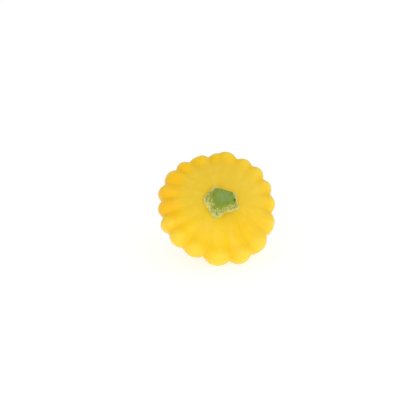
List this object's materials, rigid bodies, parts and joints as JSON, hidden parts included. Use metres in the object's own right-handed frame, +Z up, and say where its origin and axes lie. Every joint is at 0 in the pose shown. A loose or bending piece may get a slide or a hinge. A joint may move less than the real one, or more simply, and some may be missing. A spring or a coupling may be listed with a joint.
{
  "type": "pattypan squash",
  "caption": "Small yellow scalloped summer squash lying on its flank, with a low ribbed dome, a lobed rim, a conical underside and a short five-ridged green cut stem.",
  "frame": {"origin": "on the surface that the squash lies on, under the middle of its bounding box", "axes": "+Z up from the surface; the stem end points to -Y and up, about 40 degrees above the surface; +X to the right of the stem end as seen from -Y"},
  "size_m": [0.0648, 0.0532, 0.0531],
  "materials": {
    "skin": "thin, smooth, waxy satin skin, warm yellow",
    "stem": "matt, fleshy green stem with pale fine ribs and a fresh, darker cut face"
  },
  "bodies": {
    "root": {"fruit": "skin", "stem": "stem"}
  },
  "joints": []
}
